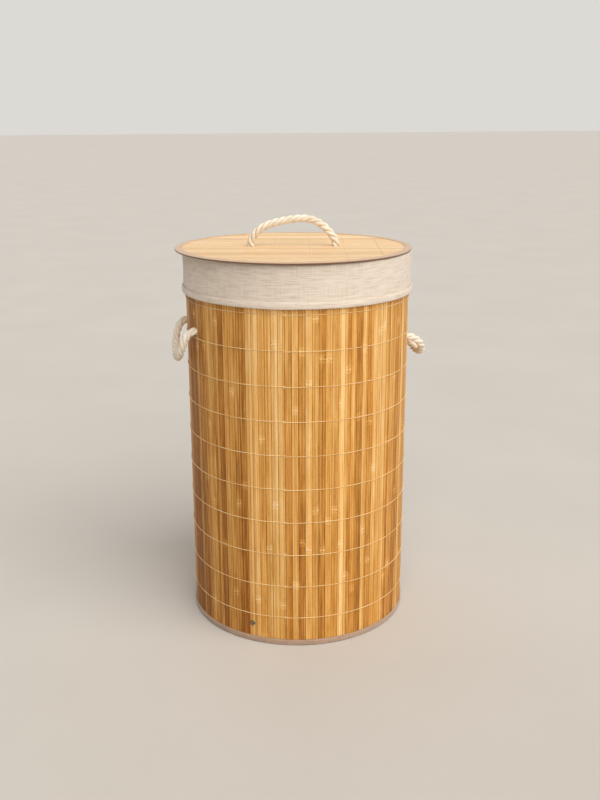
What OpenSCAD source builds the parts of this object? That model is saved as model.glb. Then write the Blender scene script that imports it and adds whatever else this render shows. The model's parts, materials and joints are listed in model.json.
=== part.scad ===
// Round bamboo laundry hamper: a slat basket, a lift-out linen liner whose cuff
// folds over the rim, a loose flat lid, and three rope handles.
// Origin: middle of the base, on the floor. +Z is up. The side handles face +X and -X.

/* [Overall] */
// Outside diameter of the bamboo wall
wall_d = 350; // [290:5:450]
// Height from the floor to the top of the lid
overall_h = 600; // [480:5:750]

/* [Bamboo mat] */
// Distance from one slat to the next, round the wall and across the lid
slat_pitch = 10; // [8:0.5:14]
// Gap between neighbouring slats
slat_gap = 0.3; // [0.2:0.1:1]
// Thickness of a slat
slat_t = 1.6; // [1:0.1:3]
// Height of the lowest thread row above the floor
thread_row_first = 48; // [30:1:70]
// Distance from one thread row to the next
thread_row_pitch = 53; // [35:1:80]
// Diameter of the sewing thread
thread_d = 0.8; // [0.5:0.1:1.2]
// Thickness of the cloth glued behind the slats
backing_t = 0.4; // [0.3:0.1:1]
// Width of the tape over the mat's upright join
seam_tape_w = 25; // [15:1:40]
// Direction of the mat's join, in slats from the +X handle
seam_slats = -33.5; // [-40.5:1:-20.5]

/* [Bindings and hoops] */
// Thickness of the cloth folded over the mat's top and bottom edges
binding_t = 1.5; // [0.8:0.1:2.5]
// Height of the binding round the foot
foot_binding_h = 10; // [7:1:20]
// Height of the binding round the rim
rim_binding_h = 12; // [8:1:20]
// Diameter of the steel hoops at the rim and the foot
hoop_d = 2.4; // [1.5:0.1:4]

/* [Base] */
// Thickness of the cloth under the base
base_cloth_t = 0.8; // [0.4:0.1:2]
// Thickness of the base board
base_board_t = 3; // [2:0.5:6]
// Width of the strap that carries the base board
strap_w = 25; // [15:1:40]
// Thickness of that strap
strap_t = 1.2; // [0.8:0.1:2]
// How far the strap runs up the wall past its rivet
strap_past_rivet = 12; // [8:1:25]
// Direction of the strap's ends, in slats from the +X handle
strap_slats = -39; // [-45:1:-36]
// Height of the rivets above the floor
rivet_z = 31; // [22:1:45]
// Diameter of a rivet's head
rivet_head_d = 9; // [5:0.5:12]
// Diameter of a rivet's shank
rivet_shank_d = 3; // [2:0.5:4]

/* [Ropes] */
// Diameter of the handle ropes
rope_d = 12; // [8:0.5:15]
// Diameter of a stopper knot
knot_d = 26; // [20:1:34]
// Length of a stopper knot along its rope
knot_len = 14; // [10:1:20]
// Slats between the two holes of a side handle, an odd number
handle_slats = 9; // [7:2:13]
// Distance from the top of the lid down to the holes of the -X handle
left_handle_drop = 118; // [100:1:160]
// Distance from the top of the lid down to the holes of the +X handle
right_handle_drop = 145; // [100:1:180]

/* [Liner] */
// Thickness of the linen
liner_t = 1; // [0.6:0.1:2]
// Height of the cuff that is folded down outside the rim
cuff_h = 63; // [40:1:75]
// Height of the cuff's hem
hem_h = 10; // [8:1:16]
// Clearance between the cuff and the rim's binding
cuff_ease = 1.2; // [0.5:0.1:3]
// Clearance between the bag and the stopper knots
bag_ease = 1.5; // [1:0.5:10]
// Width of the elastic in the hem
elastic_w = 6; // [4:0.5:6]
// Thickness of that elastic
elastic_t = 0.8; // [0.5:0.1:1.5]

/* [Lid] */
// How far the lid reaches past the bamboo wall
lid_overhang = 9; // [6:0.5:15]
// How far the lid lies off centre along X
lid_shift = -6; // [-6:0.5:6]
// Turn of the lid about the upright axis
lid_turn = -13.5; // [-90:0.5:90]
// Thickness of a slat of the lid
lid_slat_t = 1; // [0.8:0.1:2]
// Thickness of the stiff card inside the lid
lid_board_t = 0.6; // [0.6:0.2:3]
// Diameter of the steel hoop in the lid's edge
lid_hoop_d = 2; // [1.5:0.25:2]
// Width of the lid's binding on its top and under it
lid_binding_w = 12; // [8:1:20]
// Thickness of the lid's binding
lid_binding_t = 0.4; // [0.4:0.1:1]
// Distance between the feet of the lid's handle
lid_handle_w = 132; // [110:2:160]

/* [Fits] */
// Clearance between pieces that move apart
fit = 0.3; // [0.2:0.1:0.6]
// Clearance between pieces that are sewn, glued or laid together
lay = 0.05; // [0.02:0.01:0.1]

/* [Hidden] */
$fn = 96;
rope_sides = 12;

bamboo = "burlywood";
cloth = "rosybrown";
linen = "antiquewhite";
cotton = "ivory";
steel = "silver";

// Round the wall: slats, then backing, then what lies inside them
wall_r = wall_d / 2;
slat_count = 2 * round(PI * wall_d / (2 * slat_pitch));
slat_step = 360 / slat_count;
slat_w = 2 * (wall_r - slat_t) * tan(slat_step / 2) - slat_gap;
slat_face = sqrt(pow(wall_r, 2) - pow(slat_w / 2, 2));
backing_out = slat_face - slat_t - lay;
backing_in = backing_out - backing_t;
binding_out = wall_r + lay + binding_t;
leg_out = backing_in - hoop_d - 2 * lay;
leg_in = leg_out - binding_t;

// Up the object: lid, cuff, rim binding and mat
lid_stack = backing_t + lid_board_t + lid_slat_t + 4 * lay;
lid_t = lid_stack + 2 * lid_binding_t;
lid_z = overall_h - lid_t;
rim_z = lid_z - fit;
rim_binding_top = rim_z - liner_t - lay;
mat_low = binding_t + lay;
mat_high = rim_binding_top - binding_t - lay;
cuff_low = rim_z - cuff_h;

// Base
strap_low = base_cloth_t + lay;
board_low = strap_low + strap_t + lay;
board_high = board_low + base_board_t;
board_r = leg_in - strap_t - 3 * fit;
strap_angle = strap_slats * slat_step;
strap_in_foot = sqrt(pow(leg_in, 2) - pow(strap_w / 2, 2)) - lay;
strap_on_wall = sqrt(pow(backing_in, 2) - pow(strap_w / 2, 2)) - lay;
strap_jog = 6;
washer_t = 0.8;
rivet_head_t = 1.3;
rivet_tail_t = 0.8;
rivet_hole_d = rivet_shank_d + 2 * lay;

// Side handles: each rope turns about the line through its two holes
hole_angle = handle_slats / 2 * slat_step;
rope_hole_d = rope_d + 1;
knot_face = sqrt(pow(backing_in, 2) - pow(knot_d / 2, 2)) - lay;
pivot_r = wall_r + rope_d / 2 + fit;
pivot_x = pivot_r * cos(hole_angle);
pivot_y = pivot_r * sin(hole_angle);
left_handle_z = overall_h - left_handle_drop;
right_handle_z = overall_h - right_handle_drop;

// Liner: the bag clears the knots, its neck clears the rim binding
bag_r = knot_face - knot_len - bag_ease;
neck_r = leg_in - fit;
bag_low = board_high + fit;
flare_low = max(left_handle_z, right_handle_z) + knot_d / 2 + 5;
flare_h = 15;
fold_depth = 10;
cuff_in = binding_out + cuff_ease;
cuff_out = cuff_in + liner_t;
hem_high = cuff_low + hem_h;
elastic_z = cuff_low + (hem_h - elastic_w) / 2;
hem_in = cuff_out + elastic_t + 2 * lay;

// Lid, in its own frame: laid from the binding's lower leg upwards
lid_r = wall_r + lid_overhang;
lid_core_r = lid_r - lid_binding_t - lid_hoop_d - 2 * lay;
lid_leg_in = lid_r - lid_binding_w;
lid_backing_z = lid_z + lid_binding_t + lay;
lid_board_z = lid_backing_z + backing_t + lay;
lid_slat_z = lid_board_z + lid_board_t + lay;
lid_slat_top = lid_slat_z + lid_slat_t;
lid_slat_rows = floor(lid_core_r / slat_pitch);
lid_thread_rows = floor(lid_leg_in / thread_row_pitch + 0.5);
foot_z = overall_h + rope_d / 2 + fit;

// Rope routes. Side handles, one half each: [out from the pivot line, share of the
// half span, height from the pivot line]. Lid handle: [along the lid, height above
// the feet], for a span of 132.
left_route = [
    [0, 1, 0], [6, 0.985, -5], [11, 0.94, -14], [14.5, 0.84, -25.5],
    [17, 0.64, -37], [18, 0.35, -45.5], [18, 0, -48.5]
];
right_route = [
    [0, 1, 0], [8, 0.98, -4], [16, 0.93, -10], [22, 0.81, -18],
    [26, 0.6, -26], [28, 0.31, -32], [28, 0, -34]
];
lid_route = [
    [-66, 0], [-62, 9], [-54, 18], [-42, 25], [-26, 30], [-6, 34],
    [14, 36], [32, 33], [46, 25], [57, 14], [64, 5], [66, 0]
];
lid_route_w = 132;

function unit(v) = v / norm(v);

// Points of a side handle's rope, from its +Y hole round to its -Y hole
function loop_points(route, side, z) =
    let(last = len(route) - 1)
    [for (i = [0 : 2 * last])
        let(p = route[last - abs(last - i)], way = i <= last ? 1 : -1)
        [side * (pivot_x + p[0]), way * p[1] * pivot_y, z + p[2]]];

// Direction of the route at point i
function route_way(points, i) =
    unit(points[min(i + 1, len(points) - 1)] - points[max(i - 1, 0)]);

// A ring of points round centre, square to way. No route runs along side.
function ring(centre, way, side, r) =
    let(u = unit(cross(way, side)), v = cross(way, u))
    [for (k = [0 : rope_sides - 1])
        centre + r * (u * cos(k * 360 / rope_sides) + v * sin(k * 360 / rope_sides))];

// A rope along points, with each end rounded about its last point
module rope_tube(points, side) {
    r = rope_d / 2;
    last = len(points) - 1;
    first_way = route_way(points, 0);
    last_way = route_way(points, last);
    rounding = [75, 50, 25];
    rings = concat(
        [for (a = rounding) ring(points[0] - first_way * r * sin(a), first_way, side, r * cos(a))],
        [for (i = [0 : last]) ring(points[i], route_way(points, i), side, r)],
        [for (a = [25, 50, 75]) ring(points[last] + last_way * r * sin(a), last_way, side, r * cos(a))]
    );
    n = rope_sides;
    m = len(rings) - 1;
    polyhedron(
        points = [for (one = rings) each one],
        faces = concat(
            [[for (k = [0 : n - 1]) k]],
            [[for (k = [n - 1 : -1 : 0]) m * n + k]],
            [for (i = [0 : m - 1], k = [0 : n - 1])
                [i * n + k, (i + 1) * n + k, (i + 1) * n + (k + 1) % n]],
            [for (i = [0 : m - 1], k = [0 : n - 1])
                [i * n + k, (i + 1) * n + (k + 1) % n, i * n + (k + 1) % n]]
        )
    );
}

// A flat-sided ring between two radii
module band(r_in, r_out, z, h) {
    translate([0, 0, z]) rotate_extrude() translate([r_in, 0]) square([r_out - r_in, h]);
}

// A wire or thread bent to a ring
module wire_ring(r, d, z) {
    translate([0, 0, z]) rotate_extrude() translate([r, 0]) circle(d = d, $fn = 24);
}

// Puts its child's +Z along the wall's outward direction at an angle
module outward(angle, z) {
    rotate([0, 0, angle]) translate([0, 0, z]) rotate([0, 90, 0]) children();
}

// Places of the four rope holes of the side handles
module at_rope_holes(side, z) {
    for (a = [-hole_angle, hole_angle])
        outward((side < 0 ? 180 : 0) + a, z) children();
}

module at_rivets() {
    for (turn = [0, 180]) outward(strap_angle + turn, rivet_z) children();
}

// Rope and rivet holes right through the wall
module wall_holes() {
    bore_from = leg_in;
    bore_len = binding_out - leg_in;
    at_rope_holes(-1, left_handle_z) translate([0, 0, bore_from]) cylinder(d = rope_hole_d, h = bore_len);
    at_rope_holes(1, right_handle_z) translate([0, 0, bore_from]) cylinder(d = rope_hole_d, h = bore_len);
    at_rivets() translate([0, 0, bore_from]) cylinder(d = rivet_hole_d, h = bore_len, $fn = 32);
}

// Cloth folded over an edge of the mat: edge_z is its closed side, way is +1 at the foot
module edge_binding(edge_z, way, h) {
    z_low = way > 0 ? edge_z : edge_z - h;
    closed_low = way > 0 ? edge_z : edge_z - binding_t;
    union() {
        band(leg_in, leg_out, z_low, h);
        band(wall_r + lay, binding_out, z_low, h);
        band(leg_in, binding_out, closed_low, binding_t);
    }
}

// A barrel-shaped stopper knot with the rope's end going through the hole above it.
// Its top face is at z = 0 and the rope stands rope_len above that.
module knot(rope_len) {
    round_r = knot_len / 2;
    flat_r = knot_d / 2 - round_r;
    union() {
        translate([0, 0, -round_r]) rotate_extrude() union() {
            translate([0, -round_r]) square([flat_r, knot_len]);
            intersection() {
                translate([flat_r, 0]) circle(r = round_r, $fn = 64);
                translate([flat_r, -round_r]) square([round_r, knot_len]);
            }
        }
        cylinder(d = rope_d, h = rope_len);
    }
}

module in_lid_frame() {
    translate([lid_shift, 0, 0]) rotate([0, 0, lid_turn]) children();
}

module at_lid_feet() {
    for (side = [-1, 1]) translate([side * lid_handle_w / 2, 0, 0]) children();
}

module lid_rope_holes() {
    at_lid_feet() translate([0, 0, lid_z]) cylinder(d = rope_hole_d, h = lid_t);
}

// ---- Basket ----

module wall_slats() {
    color(bamboo) difference() {
        for (i = [0 : slat_count - 1])
            rotate([0, 0, i * slat_step])
                translate([slat_face - slat_t, -slat_w / 2, mat_low])
                    cube([slat_t, slat_w, mat_high - mat_low]);
        wall_holes();
    }
}

module wall_threads() {
    rows = floor((mat_high - rim_binding_h - thread_row_first) / thread_row_pitch);
    color(cotton) for (i = [0 : rows])
        wire_ring(wall_r + lay + thread_d / 2, thread_d, thread_row_first + i * thread_row_pitch);
}

module wall_backing() {
    color("wheat") difference() {
        band(backing_in, backing_out, mat_low, mat_high - mat_low);
        wall_holes();
    }
}

module wall_seam_tape() {
    z_low = foot_binding_h + 2 * fit;
    z_high = rim_binding_top - rim_binding_h - 2 * fit;
    spread = 360 * seam_tape_w / (2 * PI * backing_in);
    color("wheat") rotate([0, 0, seam_slats * slat_step - spread / 2]) translate([0, 0, z_low])
        rotate_extrude(angle = spread)
            translate([backing_in - lay - backing_t, 0]) square([backing_t, z_high - z_low]);
}

module rim_hoop() {
    color(steel) wire_ring(backing_in - lay - hoop_d / 2, hoop_d, mat_high - hoop_d / 2);
}

module rim_binding() {
    color(cloth) edge_binding(rim_binding_top, -1, rim_binding_h);
}

module foot_hoop() {
    color(steel) wire_ring(backing_in - lay - hoop_d / 2, hoop_d, mat_low + hoop_d / 2);
}

module foot_binding() {
    color(cloth) edge_binding(0, 1, foot_binding_h);
}

module base_cloth() {
    color(cloth) cylinder(r = leg_in - lay, h = base_cloth_t);
}

// Runs under the board and up the wall at both ends, stepping out over the foot binding
module base_strap() {
    jog_low = foot_binding_h + lay;
    jog_high = jog_low + strap_jog;
    top = rivet_z + strap_past_rivet;
    arm = [
        [strap_in_foot, strap_low], [strap_in_foot, jog_low],
        [strap_on_wall, jog_high], [strap_on_wall, top],
        [strap_on_wall - strap_t, top], [strap_on_wall - strap_t, jog_high],
        [strap_in_foot - strap_t, jog_low], [strap_in_foot - strap_t, strap_low + strap_t]
    ];
    color("tan") difference() {
        rotate([0, 0, strap_angle]) rotate([90, 0, 0])
            translate([0, 0, -strap_w / 2]) linear_extrude(strap_w)
                polygon(concat(arm, [for (i = [len(arm) - 1 : -1 : 0]) [-arm[i][0], arm[i][1]]]));
        at_rivets() translate([0, 0, board_r])
            cylinder(d = rivet_hole_d, h = wall_r - board_r, $fn = 32);
    }
}

module base_board() {
    color("peru") translate([0, 0, board_low]) cylinder(r = board_r, h = base_board_t);
}

module strap_rivets() {
    head_low = wall_r + lay;
    tail_low = strap_on_wall - strap_t - washer_t - 2 * lay - rivet_tail_t;
    color("darkgray") at_rivets() {
        translate([0, 0, tail_low])
            cylinder(d = rivet_shank_d, h = head_low - tail_low, $fn = 32);
        translate([0, 0, tail_low]) cylinder(d = rivet_shank_d * 1.5, h = rivet_tail_t, $fn = 32);
        translate([0, 0, head_low]) intersection() {
            cylinder(d = rivet_head_d, h = rivet_head_t, $fn = 48);
            translate([0, 0, rivet_head_t - rivet_head_d]) sphere(r = rivet_head_d, $fn = 96);
        }
    }
}

module rivet_washers() {
    color(steel) at_rivets() translate([0, 0, strap_on_wall - strap_t - lay - washer_t])
        difference() {
            cylinder(d = rivet_head_d, h = washer_t, $fn = 48);
            translate([0, 0, -1]) cylinder(d = rivet_hole_d, h = washer_t + 2, $fn = 32);
        }
}

module left_handle_knots() {
    color(cotton) at_rope_holes(-1, left_handle_z) translate([0, 0, knot_face]) knot(wall_r - knot_face);
}

module right_handle_knots() {
    color(cotton) at_rope_holes(1, right_handle_z) translate([0, 0, knot_face]) knot(wall_r - knot_face);
}

// ---- Liner ----

module liner_bag_wall() {
    neck_high = rim_z - fold_depth;
    inner = [[bag_r, bag_low + liner_t], [bag_r, flare_low], [neck_r, flare_low + flare_h], [neck_r, neck_high]];
    outer = [for (i = [len(inner) - 1 : -1 : 0]) inner[i] - [liner_t, 0]];
    color(linen) rotate_extrude() polygon(concat(inner, outer));
}

module liner_bag_floor() {
    color(linen) translate([0, 0, bag_low]) cylinder(r = bag_r, h = liner_t);
}

// The bag's mouth, turned out over the rim and down outside it
module liner_cuff() {
    color(linen) union() {
        band(neck_r - liner_t, neck_r, rim_z - fold_depth, fold_depth);
        band(neck_r - liner_t, cuff_out, rim_z - liner_t, liner_t);
        band(cuff_in, cuff_out, cuff_low, cuff_h);
    }
}

module liner_hem() {
    color(linen) union() {
        band(hem_in, hem_in + liner_t, cuff_low, hem_h);
        band(cuff_out, hem_in, cuff_low, elastic_z - cuff_low - lay);
        band(cuff_out, hem_in, elastic_z + elastic_w + lay, hem_high - elastic_z - elastic_w - lay);
    }
}

module liner_elastic() {
    color("white") band(cuff_out + lay, cuff_out + lay + elastic_t, elastic_z, elastic_w);
}

// ---- Lid ----

module lid_slats() {
    color(bamboo) in_lid_frame() difference() {
        for (i = [-lid_slat_rows : lid_slat_rows - 1])
            translate([0, 0, lid_slat_z]) linear_extrude(lid_slat_t) intersection() {
                circle(r = lid_core_r);
                translate([-lid_core_r, i * slat_pitch + slat_gap / 2])
                    square([2 * lid_core_r, slat_pitch - slat_gap]);
            }
        lid_rope_holes();
    }
}

module lid_threads() {
    color(cotton) in_lid_frame() for (i = [0 : lid_thread_rows - 1], side = [-1, 1]) {
        x = side * (i + 0.5) * thread_row_pitch;
        half = sqrt(max(pow(lid_leg_in - lay, 2) - pow(abs(x) + thread_d, 2), 0));
        translate([x, half, lid_slat_top + lay + thread_d / 2]) rotate([90, 0, 0])
            cylinder(d = thread_d, h = 2 * half, $fn = 24);
    }
}

module lid_board() {
    color("peru") in_lid_frame() difference() {
        translate([0, 0, lid_board_z]) cylinder(r = lid_core_r, h = lid_board_t);
        lid_rope_holes();
    }
}

module lid_backing() {
    color("wheat") in_lid_frame() difference() {
        translate([0, 0, lid_backing_z]) cylinder(r = lid_core_r, h = backing_t);
        lid_rope_holes();
    }
}

module lid_hoop() {
    color(steel) in_lid_frame()
        wire_ring(lid_core_r + lay + lid_hoop_d / 2, lid_hoop_d, lid_z + lid_t / 2);
}

module lid_binding() {
    color(cloth) in_lid_frame() union() {
        band(lid_leg_in, lid_r, lid_z, lid_binding_t);
        band(lid_r - lid_binding_t, lid_r, lid_z, lid_t);
        band(lid_leg_in, lid_r, overall_h - lid_binding_t, lid_binding_t);
    }
}

module lid_handle_knots() {
    color(cotton) in_lid_frame() at_lid_feet()
        translate([0, 0, lid_backing_z - lay]) knot(overall_h - lid_backing_z + lay);
}

// ---- Rope handles ----

module lid_handle_rope() {
    stretch = lid_handle_w / lid_route_w;
    points = [for (p = lid_route) [p[0] * stretch, 0, foot_z + p[1]]];
    color(cotton) in_lid_frame() rope_tube(points, [0, 1, 0]);
}

module left_handle_rope() {
    color(cotton) rope_tube(loop_points(left_route, -1, left_handle_z), [1, 0, 0]);
}

module right_handle_rope() {
    color(cotton) rope_tube(loop_points(right_route, 1, right_handle_z), [1, 0, 0]);
}

wall_slats();
wall_threads();
wall_backing();
wall_seam_tape();
rim_hoop();
rim_binding();
foot_hoop();
foot_binding();
base_cloth();
base_strap();
base_board();
strap_rivets();
rivet_washers();
left_handle_knots();
right_handle_knots();
liner_bag_wall();
liner_bag_floor();
liner_cuff();
liner_hem();
liner_elastic();
lid_slats();
lid_threads();
lid_board();
lid_backing();
lid_hoop();
lid_binding();
lid_handle_knots();
lid_handle_rope();
left_handle_rope();
right_handle_rope();
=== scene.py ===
"""Round bamboo laundry hamper: slat basket, lift-out linen liner with a turned-down cuff,
loose lid and three rope handles. Metres, +Z up, origin in the middle of the base."""
import json
import math
import random

import bmesh
import bpy
from mathutils import Euler, Matrix, Vector, noise
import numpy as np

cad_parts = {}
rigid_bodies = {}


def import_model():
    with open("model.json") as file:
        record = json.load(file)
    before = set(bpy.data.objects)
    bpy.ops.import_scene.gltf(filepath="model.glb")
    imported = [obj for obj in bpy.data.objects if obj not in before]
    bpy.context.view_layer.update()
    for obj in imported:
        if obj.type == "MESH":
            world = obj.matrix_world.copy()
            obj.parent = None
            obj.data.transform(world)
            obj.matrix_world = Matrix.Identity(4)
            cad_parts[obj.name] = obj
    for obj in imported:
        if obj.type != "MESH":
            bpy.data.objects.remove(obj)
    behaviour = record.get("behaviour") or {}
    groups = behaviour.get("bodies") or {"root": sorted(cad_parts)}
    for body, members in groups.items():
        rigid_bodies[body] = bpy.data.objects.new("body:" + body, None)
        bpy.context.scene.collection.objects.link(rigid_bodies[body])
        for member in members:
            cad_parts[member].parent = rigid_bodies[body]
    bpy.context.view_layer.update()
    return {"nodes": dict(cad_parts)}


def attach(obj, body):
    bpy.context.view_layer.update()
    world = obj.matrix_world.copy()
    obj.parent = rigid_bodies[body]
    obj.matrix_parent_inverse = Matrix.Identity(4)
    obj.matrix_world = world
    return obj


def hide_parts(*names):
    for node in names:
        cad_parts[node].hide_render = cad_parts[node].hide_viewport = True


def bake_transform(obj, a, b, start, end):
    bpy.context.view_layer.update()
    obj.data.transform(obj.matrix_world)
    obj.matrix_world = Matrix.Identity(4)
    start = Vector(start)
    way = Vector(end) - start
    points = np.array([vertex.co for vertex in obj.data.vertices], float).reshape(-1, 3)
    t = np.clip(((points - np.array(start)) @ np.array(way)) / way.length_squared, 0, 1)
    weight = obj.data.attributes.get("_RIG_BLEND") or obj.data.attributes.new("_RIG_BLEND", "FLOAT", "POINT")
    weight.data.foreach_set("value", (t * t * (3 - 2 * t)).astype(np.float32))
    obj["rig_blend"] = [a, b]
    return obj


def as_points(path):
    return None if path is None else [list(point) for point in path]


for spare in list(bpy.data.objects):
    bpy.data.objects.remove(spare)
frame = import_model()

# ---- Camera ----
# A view from 0.8 m up, a little higher than the lid, from 13.5 degrees to the left of the
# front. It looks down 16 degrees and is aimed just to the right of the basket's axis.
camera_bearing = math.radians(-13.5)
camera_distance = 1.524
camera_height = 0.798
camera_dip = 16.44
camera_pan = 0.149
camera_roll = -0.17
camera_data = bpy.data.cameras.new("camera")
camera_data.sensor_width = 36
camera_data.lens = 43.713
camera_data.clip_start = 0.05
camera_data.clip_end = 60
camera = bpy.data.objects.new("camera", camera_data)
bpy.context.collection.objects.link(camera)
camera.location = (
    camera_distance * math.sin(camera_bearing),
    -camera_distance * math.cos(camera_bearing),
    camera_height,
)
look_down = Euler((math.radians(90 - camera_dip), 0, camera_bearing - math.radians(camera_pan)))
tilt = Matrix.Rotation(math.radians(camera_roll), 3, "Z")
camera.rotation_euler = (look_down.to_matrix() @ tilt).to_euler()
bpy.context.scene.camera = camera

# ---- Rope handles ----
# Three handles of twelve millimetre cotton rope, laid from three strands of soft yarns.
# The two side ropes go through the wall and the lid's rope through the lid, each to a
# stopper knot, and they bend where they come out of their holes.
strands_in_rope = 3
rope_lay = 0.034
strand_radius = 0.00300
strand_offset = 0.00315
yarns_in_strand = 8
yarn_lay = 0.024
rope_step = 0.0011
curve_parts = 24
side_softness = 0.0034
lid_softness = 0.0022


def linear(red, green, blue):
    """A screen colour from 0 to 255 as the scene's own linear colour."""
    parts = [value / 255 for value in (red, green, blue)]
    bent = [((p + 0.055) / 1.055) ** 2.4 if p > 0.04045 else p / 12.92 for p in parts]
    return (*bent, 1.0)


def add(tree, kind, values=None, **settings):
    """A new node with its settings, and each input either joined to a socket or set."""
    made = tree.nodes.new(kind)
    for key, value in settings.items():
        setattr(made, key, value)
    for key, value in (values or {}).items():
        if isinstance(value, bpy.types.NodeSocket):
            tree.links.new(value, made.inputs[key])
        else:
            made.inputs[key].default_value = value
    return made


def calc(tree, operation, *values):
    """The result of a Math node."""
    return add(
        tree, "ShaderNodeMath", dict(enumerate(values)), operation=operation
    ).outputs[0]


def times(tree, first, second):
    """Two values multiplied."""
    return calc(tree, "MULTIPLY", first, second)


def plus(tree, first, second):
    """Two values added."""
    return calc(tree, "ADD", first, second)


def minus(tree, first, second):
    """The second value taken from the first."""
    return calc(tree, "SUBTRACT", first, second)


def object_place(tree):
    """The place on the object, in metres."""
    return add(tree, "ShaderNodeTexCoord").outputs["Object"]


def stretch(tree, vector, *scale):
    """A vector multiplied by one number along each axis."""
    return add(
        tree, "ShaderNodeVectorMath", {0: vector, 1: scale}, operation="MULTIPLY"
    ).outputs[0]


def grain_noise(tree, vector, scale=1.0, detail=2.0, rough=0.5):
    """Noise from 0 to 1."""
    values = {"Vector": vector, "Scale": scale, "Detail": detail, "Roughness": rough}
    return add(tree, "ShaderNodeTexNoise", values).outputs[0]


def blend_colours(tree, factor, first, second, way="MIX"):
    """Two colours mixed by a factor."""
    made = add(
        tree, "ShaderNodeMix", {0: factor, 6: first, 7: second}, data_type="RGBA", blend_type=way
    )
    return made.outputs[2]


def ramp(tree, factor, *stops):
    """A colour ramp with stops of place and colour."""
    made = add(tree, "ShaderNodeValToRGB", {"Fac": factor})
    marks = made.color_ramp.elements
    while len(marks) < len(stops):
        marks.new(0.5)
    for mark, (place, colour) in zip(marks, stops):
        mark.position = place
        mark.color = colour
    return made.outputs[0]


def new_finish(name, **values):
    """A material with its node tree and its shader."""
    made = bpy.data.materials.new(name)
    made.use_nodes = True
    shader = made.node_tree.nodes["Principled BSDF"]
    for key, value in values.items():
        shader.inputs[key.replace("_", " ").title().replace("Ior", "IOR")].default_value = value
    return made, made.node_tree, shader


def bump(tree, shader, height, distance, strength=1.0):
    """Fine relief on a shader, its distance in metres."""
    values = {"Height": height, "Distance": distance, "Strength": strength}
    made = add(tree, "ShaderNodeBump", values)
    tree.links.new(made.outputs[0], shader.inputs["Normal"])


def cotton_finish():
    """Unbleached cotton: fine fibres along the yarns, creamier and greyer in patches."""
    made, tree, shader = new_finish("cotton_rope", roughness=0.9, sheen_weight=0.35)
    shader.inputs["Sheen Roughness"].default_value = 0.4
    place = object_place(tree)
    fibres = grain_noise(tree, place, 900, 3, 0.6)
    patches = grain_noise(tree, place, 45, 2)
    mixed = plus(tree, times(tree, fibres, 0.55), times(tree, patches, 0.45))
    colour = ramp(
        tree,
        mixed,
        (0.30, linear(216, 200, 176)),
        (0.50, linear(243, 232, 214)),
        (0.68, linear(252, 246, 234)),
    )
    tree.links.new(colour, shader.inputs["Base Color"])
    bump(tree, shader, fibres, 0.0003, 0.7)
    return made


cotton = cotton_finish()


def smooth_route(points, step, softness):
    """Points a step apart on a curve through the given ones, with its corners eased."""
    ends = [points[0] * 2 - points[1], *points, points[-1] * 2 - points[-2]]
    dense = []
    for a, b, c, d in zip(ends, ends[1:], ends[2:], ends[3:]):
        for k in range(curve_parts):
            t = k / curve_parts
            dense.append(
                0.5 * (2 * b + (c - a) * t + (2 * a - 5 * b + 4 * c - d) * t**2
                       + (3 * b - a - 3 * c + d) * t**3)
            )
    dense.append(points[-1])
    length = sum((q - p).length for p, q in zip(dense, dense[1:]))
    count = max(4, round(length / step))
    even = []
    walked = 0.0
    spot = 0
    for k in range(count + 1):
        goal = length * k / count
        while spot < len(dense) - 2 and walked + (dense[spot + 1] - dense[spot]).length < goal:
            walked += (dense[spot + 1] - dense[spot]).length
            spot += 1
        gap = (dense[spot + 1] - dense[spot]).length
        even.append(dense[spot].lerp(dense[spot + 1], (goal - walked) / gap if gap else 0))
    for _ in range(round((softness / step) ** 2 * 2)):
        inner = [
            p * 0.25 + q * 0.5 + r * 0.25 for p, q, r in zip(even, even[1:], even[2:])
        ]
        even = [even[0], *inner, even[-1]]
    return even


def yarn_profile(radius):
    """The outline of one strand: a ring of yarns, each a small bulge."""
    flat = bpy.data.curves.new("strand_outline", "CURVE")
    flat.dimensions = "2D"
    line = flat.splines.new("POLY")
    corners = yarns_in_strand * 3
    line.points.add(corners - 1)
    line.use_cyclic_u = True
    for k in range(corners):
        turn = 2 * math.pi * k / corners
        reach = radius * (0.87 if k % 3 == 0 else 1.0)
        line.points[k].co = (reach * math.cos(turn), reach * math.sin(turn), 0, 1)
    made = bpy.data.objects.new("strand_outline", flat)
    bpy.context.collection.objects.link(made)
    return made


def curve_mesh(data):
    """A mesh made from a curve."""
    holder = bpy.data.objects.new(data.name, data)
    bpy.context.collection.objects.link(holder)
    graph = bpy.context.evaluated_depsgraph_get()
    mesh = bpy.data.meshes.new_from_object(holder.evaluated_get(graph))
    bpy.data.objects.remove(holder)
    return mesh


def laid_rope(routes, size=1.0):
    """A mesh of three-strand rope along each route. Left-hand lay, yarns twisted back."""
    outline = yarn_profile(strand_radius * size)
    data = bpy.data.curves.new("strands", "CURVE")
    data.dimensions = "3D"
    data.bevel_mode = "OBJECT"
    data.bevel_object = outline
    data.use_fill_caps = True
    data.twist_mode = "MINIMUM"
    for route in routes:
        ways = [(b - a).normalized() for a, b in zip(route, route[1:])]
        ways.append(ways[-1])
        side = ways[0].orthogonal().normalized()
        sides = []
        for way in ways:
            side = (side - way * side.dot(way)).normalized()
            sides.append(side)
        for strand in range(strands_in_rope):
            line = data.splines.new("POLY")
            line.points.add(len(route) - 1)
            walked = 0.0
            for k, (spot, way, side) in enumerate(zip(route, ways, sides)):
                if k:
                    walked += (spot - route[k - 1]).length
                turn = -2 * math.pi * (walked / (rope_lay * size) - strand / strands_in_rope)
                out = math.cos(turn) * side + math.sin(turn) * way.cross(side)
                line.points[k].co = (*(spot + out * strand_offset * size), 1)
                line.points[k].tilt = 2 * math.pi * walked / (yarn_lay * size)
    mesh = curve_mesh(data)
    bpy.data.objects.remove(outline)
    return mesh


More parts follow.
